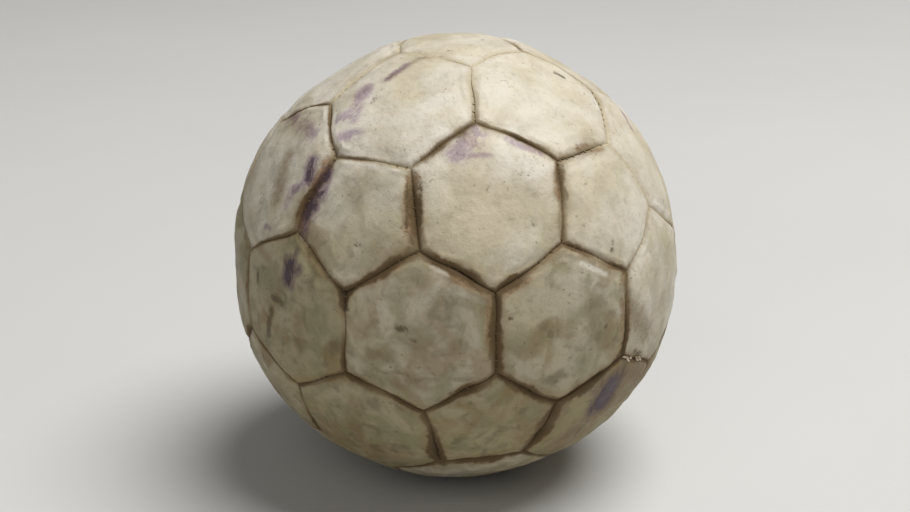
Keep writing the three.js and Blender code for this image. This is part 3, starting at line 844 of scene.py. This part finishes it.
def seam_stitches(seam, gapes, random):
    """The short stretches of thread that cross one seam at the bottom of its groove."""
    whole = math.acos(seam.start @ seam.end)
    length = whole * BALL_RADIUS
    count = int((length - SEAM_END) / STITCH_PITCH / 2)
    shapes = []
    for number in range(-count, count + 1):
        share = 0.5 + number * STITCH_PITCH / length
        here = pulled(between(seam.start, seam.end, share)[None, :])[0]
        along = unit(seam.end - seam.start)
        across = unit(np.cross(here, along) + along * random.normal() * STITCH_SKEW)
        gape = bells(here[None, :], gapes)[0]
        reach = STITCH_REACH * seam.groove + GAPE_PARTS * gape
        steps = np.linspace(-1, 1, STITCH_POINTS)
        bottom = groove_depth(seam.groove + gape * GAPE_WIDENS, seam.dirt) + STITCH_SINKS
        depths = bottom - STITCH_SAG * steps**2 + random.normal() * STITCH_UNEVEN
        path = place(unit(here + across * steps[:, None] * reach / BALL_RADIUS), depths)
        shapes.append(tube(path, STITCH_RADIUS * (1 - 0.25 * steps**4)))
    return shapes


def stitching(seams, gapes, random, material):
    """All the stitches as one piece, each as dirty as its seam."""
    stitches = [
        (seam.dirt, shape) for seam in seams for shape in seam_stitches(seam, gapes, random)
    ]
    points, triangles = join_shapes([shape for _, shape in stitches])
    dirt = np.concatenate([np.full(len(shape[0]), dirt) for dirt, shape in stitches])
    piece = new_piece("stitching", points, triangles, material, {"dirt": dirt})
    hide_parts("seam_thread")


def flake(middle, along, length, width):
    """A flap of torn skin, thin and curled up from the seam: its points and triangles."""
    outward = unit(middle)
    along = unit(along - (along @ outward) * outward)
    across = np.cross(outward, along)
    steps = np.linspace(0, 1, 9)
    base = place(outward[None, :], np.array([FLAKE_ROOT_DEPTH]))[0]
    curl = FLAKE_CURL * steps
    ahead = length * np.sin(curl) / FLAKE_CURL
    up = length * (1 - np.cos(curl)) / FLAKE_CURL - FLAKE_SINKS
    halves = width / 2 * (1 - 0.75 * steps**3) * (1 + 0.2 * np.sin(9 * steps + length))
    spine = base + along * ahead[:, None] + outward * up[:, None]
    normal = unit(np.cross(np.gradient(spine, axis=0), across))
    points = np.stack([
        spine + across * (halves * side)[:, None] + normal * FLAKE_HALF_THICKNESS * face
        for side, face in ((1, 1), (1, -1), (-1, -1), (-1, 1))
    ], axis=1).reshape(-1, 3)
    ends = np.vstack([spine[:1], spine[-1:]])
    first = [(0, 1 + j, 1 + (j + 1) % 4) for j in range(4)]
    rest = [(a + 1, b + 1, c + 1) for a, b, c in wall_triangles(0, 4, len(steps))]
    return np.vstack([ends[:1], points, ends[1:]]), np.array(first + rest)


def frayed_skin(random, material):
    """The pale torn edge of the skin where one low seam has started to come apart."""
    shapes = []
    for longitude in np.concatenate([np.arange(*run) for run in FLAKE_RUNS]):
        latitude = FLAKE_MIDDLE[1] + FLAKE_SLOPE * (longitude - FLAKE_MIDDLE[0])
        middle = pulled(direction(longitude, latitude)[None, :])[0]
        aside = np.cross([0, 0, 1], middle) * random.normal() * 0.8
        along = aside + np.array([0, 0, random.choice([-1, 1])])
        size = random.uniform(*FLAKE_SIZES)
        shapes.append(flake(middle, along, FLAKE_LENGTH * size, FLAKE_WIDTH * size))
    piece = new_piece("frayed_skin", *join_shapes(shapes), material)


# ---- materials ----

class Nodes:
    """Short names for making a material's nodes."""

    def __init__(self, name):
        self.material = bpy.data.materials.new(name)
        self.material.use_nodes = True
        self.tree = self.material.node_tree
        self.surface = self.tree.nodes["Principled BSDF"]
        self.place = self.add("ShaderNodeTexCoord").outputs["Object"]

    def add(self, kind, inputs=None, **settings):
        node = self.tree.nodes.new(kind)
        for name, value in settings.items():
            setattr(node, name, value)
        for name, value in (inputs or {}).items():
            self.put(node.inputs[name], value)
        return node

    def put(self, socket, value):
        if isinstance(value, bpy.types.NodeSocket):
            self.tree.links.new(value, socket)
        else:
            socket.default_value = value

    def field(self, name):
        return self.add("ShaderNodeAttribute", attribute_name=name).outputs["Fac"]

    def maths(self, operation, a, b=0.0, clamp=False):
        node = self.add("ShaderNodeMath", {0: a, 1: b}, operation=operation, use_clamp=clamp)
        return node.outputs[0]

    def times(self, a, b):
        return self.maths("MULTIPLY", a, b)

    def steps(self, value, low, high, to_low=0.0, to_high=1.0):
        return self.add("ShaderNodeMapRange", {
            "Value": value, "From Min": low, "From Max": high, "To Min": to_low, "To Max": to_high,
        }, interpolation_type="SMOOTHSTEP").outputs[0]

    def noise(self, scale, detail=3, roughness=0.55, distortion=0, offset=0, stretch=(1, 1, 1)):
        moved = self.add("ShaderNodeMapping", {
            "Vector": self.place, "Location": (offset, offset * 0.7, -offset), "Scale": stretch,
        }).outputs[0]
        return self.add("ShaderNodeTexNoise", {
            "Vector": moved, "Scale": scale, "Detail": detail, "Roughness": roughness,
            "Distortion": distortion,
        }).outputs["Fac"]

    def cells(self, scale):
        inputs = {"Vector": self.place, "Scale": scale}
        return self.add("ShaderNodeTexVoronoi", inputs, feature="SMOOTH_F1").outputs["Distance"]

    def mix(self, share, a, b, blend="MIX"):
        node = self.add("ShaderNodeMix", data_type="RGBA", blend_type=blend)
        self.put(node.inputs[0], share)
        self.put(node.inputs[6], a)
        self.put(node.inputs[7], b)
        return node.outputs[2]

    def bump(self, height, distance, strength, normal=None):
        inputs = {"Height": height, "Distance": distance, "Strength": strength}
        if normal is not None:
            inputs["Normal"] = normal
        return self.add("ShaderNodeBump", inputs).outputs[0]

    def set(self, **values):
        for name, value in values.items():
            self.put(self.surface.inputs[name.replace("_", " ")], value)
        return self.material


def colour(red, green, blue):
    """A colour for a node from the usual 0 to 255 values."""
    channels = [value / 255 for value in (red, green, blue)]
    return (*[c / 12.92 if c <= 0.04045 else ((c + 0.055) / 1.055) ** 2.4 for c in channels], 1.0)


# The leather's colours
CREAM = colour(227, 221, 208)
YELLOWED = colour(208, 197, 172)
SOILED_AND_SHADED = colour(150, 138, 102)
OLIVE = colour(124, 121, 86)
BROWN = colour(134, 110, 72)
SMUDGE = colour(92, 82, 58)
FINE_DIRT = colour(118, 106, 78)
RUBBED_AND_HIGHLIGHT = colour(224, 219, 206)
STAINED = colour(124, 103, 72)
PALE_FIBRES = colour(172, 143, 115)
DARK_FIBRES = colour(126, 101, 76)
SEAM_HALO = colour(140, 118, 82)
SEAM_BAND = colour(100, 79, 50)
CLEAN_SEAM = colour(198, 187, 158)
DIRTY_SEAM = colour(120, 101, 71)
BLACKENED_SEAM = colour(94, 76, 49)
MAUVE_TINT = colour(206, 192, 216)
PURPLE = colour(72, 56, 66)
GRIME = colour(88, 72, 47)
SPECK = colour(86, 76, 54)


def leather_material():
    """Old cream leather: mottled, stained along the seams, with traces of purple print; darker
    towards the floor, partly as painted shade.
    """
    n = Nodes("worn_leather")
    height = n.add("ShaderNodeSeparateXYZ", {0: n.place}).outputs["Z"]
    # Darker towards the floor by height: partly ground dirt and partly painted shade under the
    # ball
    low = n.steps(height, 0.19, 0.05)
    soiling = n.maths("ADD", n.times(n.field("soiling"), 0.65), n.times(low, 0.42))

    # The skin's colour, darkened where the panel is soiled and towards the floor, partly as
    # painted shade, with cloudy patches that are stronger there
    clouds = n.steps(n.noise(26, 3, 0.55, 0.4), 0.35, 0.68)
    olive = n.steps(n.noise(58, 3, 0.5, 0.6, offset=3.1), 0.42, 0.62)
    brown = n.steps(n.noise(44, 3, 0.55, 0.8, offset=7.7), 0.44, 0.64)
    smudges = n.steps(n.noise(115, 3, 0.5, 0.6, offset=1.3), 0.5, 0.7)
    skin = n.mix(clouds, CREAM, YELLOWED)
    # Painted shade and soiling: the skin darkens towards olive-brown by panel and by height
    skin = n.mix(n.times(soiling, 0.85), skin, SOILED_AND_SHADED)
    for patches, on_clean, on_soiled_and_shaded, shade in (
        (olive, 0.12, 0.65, OLIVE), (brown, 0.15, 0.6, BROWN), (smudges, 0.06, 0.5, SMUDGE),
    ):
        skin = n.mix(n.times(patches, n.steps(soiling, 0, 1, on_clean, on_soiled_and_shaded)), skin, shade)
    fine = n.noise(420, 4, 0.6, offset=5.9)
    skin = n.mix(n.steps(fine, 0.5, 0.75, 0, 0.22), skin, FINE_DIRT)

    # Pale rubbed places with painted highlights on some seam lips, soft stains and worn-through
    # bands where the marks say
    ragged = n.noise(300, 4, 0.7, 0.6, offset=5.2)
    edge = n.steps(ragged, 0.3, 0.7, 0.45, 1.55)
    soft_edge = n.steps(ragged, 0.3, 0.7, 0.75, 1.25)
    pale = n.steps(n.times(n.field("pale"), soft_edge), 0.1, 0.9, 0, 0.75)
    soil = n.steps(n.times(n.field("soil"), soft_edge), 0.05, 0.9, 0, 0.7)
    worn = n.steps(n.times(n.field("worn"), edge), 0.1, 0.8, 0, 0.9)
    fibres = n.steps(n.noise(330, 4, 0.65, 2.0, offset=6.6), 0.35, 0.65)
    # Pale marks lighten the skin; along the seam lips this is a painted highlight
    skin = n.mix(pale, skin, RUBBED_AND_HIGHLIGHT)
    skin = n.mix(soil, skin, STAINED)
    skin = n.mix(worn, skin, n.mix(fibres, PALE_FIBRES, DARK_FIBRES))

    # Dirt in and beside the seams
    dirt = n.field("dirt")
    wander = n.times(n.maths("SUBTRACT", n.noise(160, 4, 0.6, offset=6.1), 0.5), 2.0)
    stain = n.maths("ADD", n.field("in_stain"), wander)
    halo = n.steps(stain, 2.6, 0.5, 0, 0.5)
    band = n.steps(stain, 1.25, 0.5, 0, 0.85)
    groove = n.steps(n.maths("ADD", n.field("in_groove"), n.times(wander, 0.25)), 1.0, 0.2)
    deep = n.mix(n.steps(dirt, 0.15, 0.65), CLEAN_SEAM, DIRTY_SEAM)
    deep = n.mix(n.steps(dirt, 0.6, 1.1), deep, BLACKENED_SEAM)
    skin = n.mix(n.times(halo, dirt), skin, SEAM_HALO)
    skin = n.mix(n.times(band, n.maths("POWER", dirt, 1.6)), skin, SEAM_BAND)
    skin = n.mix(n.times(groove, n.steps(dirt, 0, 0.9, 0.6, 0.95)), skin, deep)

    # Purple print, grime and small specks
    streaks = n.noise(150, 5, 0.72, 1.2, offset=9.4, stretch=(1, 1, 0.55))
    print_level = n.times(n.field("print"), n.steps(streaks, 0.32, 0.68, 0.4, 1.6))
    grime = n.steps(n.times(n.field("grime"), edge), 0.15, 0.7, 0, 0.8)
    speck_place = n.steps(n.noise(70, 2, offset=2.2), 0.45, 0.62)
    specks = n.times(n.steps(n.noise(520, 2, 0.5, offset=4.4), 0.64, 0.71), speck_place)
    skin = n.mix(n.steps(print_level, 0.03, 0.5, 0, 0.95), skin, MAUVE_TINT, "MULTIPLY")
    skin = n.mix(n.steps(print_level, 0.5, 1.1, 0, 0.9), skin, PURPLE)
    skin = n.mix(grime, skin, GRIME)
    skin = n.mix(n.times(specks, 0.5), skin, SPECK)

    # Surface: fine grain, shallow wrinkles, dents and the raw edge of what has worn away
    grain = n.maths("ADD", n.noise(2000, 2, 0.6), n.times(n.cells(1200), 0.8))
    wrinkles = n.noise(330, 4, 0.62, 1.6, offset=8.8)
    dents = n.noise(75, 3, 0.5, offset=13.1)
    normal = n.bump(grain, 0.0001, 0.5)
    normal = n.bump(wrinkles, 0.0007, 0.4, normal)
    normal = n.bump(dents, 0.0022, 0.4, normal)
    normal = n.bump(worn, -0.0004, 0.6, normal)
    dull = n.steps(n.maths("MAXIMUM", n.maths("MAXIMUM", groove, band), worn), 0, 1, 0, 0.25)
    sheen = n.steps(n.noise(150, 4, 0.6, offset=12.5), 0.3, 0.7, 0.48, 0.66)
    rough = n.maths("ADD", sheen, dull, clamp=True)
    return n.set(Base_Color=skin, Roughness=rough, Normal=normal, Specular_IOR_Level=0.35)


def torn_material():
    n = Nodes("torn_skin")
    mottle = n.steps(n.noise(500, 3), 0.35, 0.65)
    shade = n.mix(mottle, colour(226, 215, 196), colour(176, 156, 126))
    return n.set(Base_Color=shade, Roughness=0.75, Normal=n.bump(n.noise(1800, 2), 0.0002, 0.5))


def thread_material():
    n = Nodes("dirty_thread")
    shade = n.steps(n.noise(900, 3), 0.3, 0.7)
    soiled = n.mix(shade, colour(120, 98, 66), colour(88, 70, 46))
    clean = n.mix(shade, colour(196, 184, 156), colour(170, 156, 124))
    cord = n.mix(n.steps(n.field("dirt"), 0.2, 0.6), clean, soiled)
    twist = n.noise(2600, 2, stretch=(1, 1, 0.4))
    return n.set(Base_Color=cord, Roughness=0.9, Normal=n.bump(twist, 0.0002, 0.6))


def rubber_material(name, light, dark, roughness):
    n = Nodes(name)
    cloudy = n.noise(60, 4)
    bloom = n.steps(n.noise(240, 3, offset=2.0), 0.4, 0.7, 0, 0.5)
    shade = n.mix(bloom, n.mix(cloudy, light, dark), light)
    rough = n.steps(cloudy, 0.2, 0.8, roughness - 0.1, roughness + 0.1)
    return n.set(Base_Color=shade, Roughness=rough, Normal=n.bump(n.noise(1500, 2), 0.0001, 0.4))


def cloth_material():
    n = Nodes("backing_cloth")
    threads = {"Vector": n.place, "Scale": 420, "Distortion": 0.6}
    warp = n.add("ShaderNodeTexWave", threads, bands_direction="X").outputs["Fac"]
    weft = n.add("ShaderNodeTexWave", threads, bands_direction="Z").outputs["Fac"]
    weave = n.times(warp, weft)
    shade = n.mix(weave, colour(150, 140, 118), colour(190, 181, 160))
    return n.set(Base_Color=shade, Roughness=0.95, Normal=n.bump(weave, 0.0002, 0.6))


def floor_material():
    n = Nodes("pale_floor")
    shade = n.mix(n.noise(3, 3), colour(214, 214, 212), colour(206, 206, 205))
    return n.set(Base_Color=shade, Roughness=0.8)


# ---- the ball ----

def build_ball():
    random = np.random.default_rng(SEED)
    panels = all_panels()
    seams = all_seams(panels, random)
    more_marks, more_gapes = wear_elsewhere(seams, random)
    marks = MARKS + more_marks
    gapes = GAPES + more_gapes
    ripples = {kind: Ripple(wavelength, random) for kind, wavelength in RIPPLES.items()}
    leather = leather_material()
    tables = {sides: grid_table(sides) for sides in (5, 6)}
    triangles = {sides: panel_triangles(sides) for sides in (5, 6)}
    for panel in panels:
        low = smooth(0.5 - panel.middle[2])
        drawn = random.uniform(*PANEL_SOILING) + LOW_PANEL_SOILING * low
        panel.soiling = SOILING.get(panel.name, drawn)
        sides = len(panel.corners)
        points, fields = panel_shape(panel, tables[sides], ripples, marks, gapes)
        faces = holed_triangles(sides) if panel.name == VALVE_PANEL else triangles[sides]
        piece = new_piece(f"{panel.name}_skin", points, faces, leather, fields)
        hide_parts(panel.name)
    stitching(seams, gapes, random, thread_material())
    frayed_skin(random, torn_material())


def finish_cad_nodes():
    """The inner pieces keep their CAD shapes and get their materials."""
    black = rubber_material("valve_rubber", colour(44, 42, 40), colour(24, 23, 22), 0.55)
    materials = {
        "bladder": rubber_material("bladder_rubber", colour(66, 60, 54), colour(40, 37, 34), 0.5),
        "valve_patch": cloth_material(),
        "valve_housing": black,
        "valve_core": black,
    }
    for node, material in materials.items():
        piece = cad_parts[node]
        piece.data.materials.clear()
        piece.data.materials.append(material)


# ---- stage ----

CAMERA_AZIMUTH = -9.6
CAMERA_ELEVATION = 19.4
CAMERA_DISTANCE = 7.37 * BALL_RADIUS * MM
CAMERA_LENS = 64.3
SENSOR_WIDTH = 36
FLOOR_RADIUS = 8.0
FLOOR_GAP = 0.0003

# A broad key above and to the right, and a faint fill from the left: azimuth, elevation,
# distance and diameter in metres, watts and colour
LIGHTS = {
    "key": (78, 70, 3.2, 2.4, 118, (1.0, 0.99, 0.97)),
    "fill": (-30, 35, 3.2, 2.6, 15, (1.0, 0.98, 0.95)),
}
STUDIO_COLOUR = (0.95, 0.94, 0.92, 1)
STUDIO_STRENGTH = 0.13


def looking_from(azimuth, elevation):
    a = math.radians(azimuth)
    e = math.radians(elevation)
    return Vector((math.sin(a) * math.cos(e), -math.cos(a) * math.cos(e), math.sin(e)))


def build_stage():
    scene = bpy.context.scene
    centre = Vector(CENTRE * MM)
    camera = bpy.data.objects.new("camera", bpy.data.cameras.new("camera"))
    back = looking_from(CAMERA_AZIMUTH, CAMERA_ELEVATION)
    camera.location = centre + back * CAMERA_DISTANCE
    camera.rotation_mode = "QUATERNION"
    camera.rotation_quaternion = (-back).to_track_quat("-Z", "Y")
    camera.data.lens = CAMERA_LENS
    camera.data.sensor_width = SENSOR_WIDTH
    scene.collection.objects.link(camera)
    scene.camera = camera

    bpy.ops.mesh.primitive_circle_add(
        vertices=96, radius=FLOOR_RADIUS, fill_type="NGON", location=(0, 0, -FLOOR_GAP)
    )
    floor = bpy.context.object
    floor.name = "floor"
    floor.data.materials.append(floor_material())

    for name, (azimuth, elevation, distance, size, power, tint) in LIGHTS.items():
        lamp = bpy.data.lights.new(name, "AREA")
        lamp.shape = "DISK"
        lamp.size = size
        lamp.energy = power
        lamp.color = tint
        holder = bpy.data.objects.new(name, lamp)
        way = looking_from(azimuth, elevation)
        holder.location = centre + way * distance
        holder.rotation_mode = "QUATERNION"
        holder.rotation_quaternion = (-way).to_track_quat("-Z", "Y")
        scene.collection.objects.link(holder)

    world = bpy.data.worlds.new("studio")
    world.use_nodes = True
    background = world.node_tree.nodes["Background"]
    background.inputs["Color"].default_value = STUDIO_COLOUR
    background.inputs["Strength"].default_value = STUDIO_STRENGTH
    scene.world = world
    scene.view_settings.view_transform = "Standard"


build_stage()
build_ball()
finish_cad_nodes()
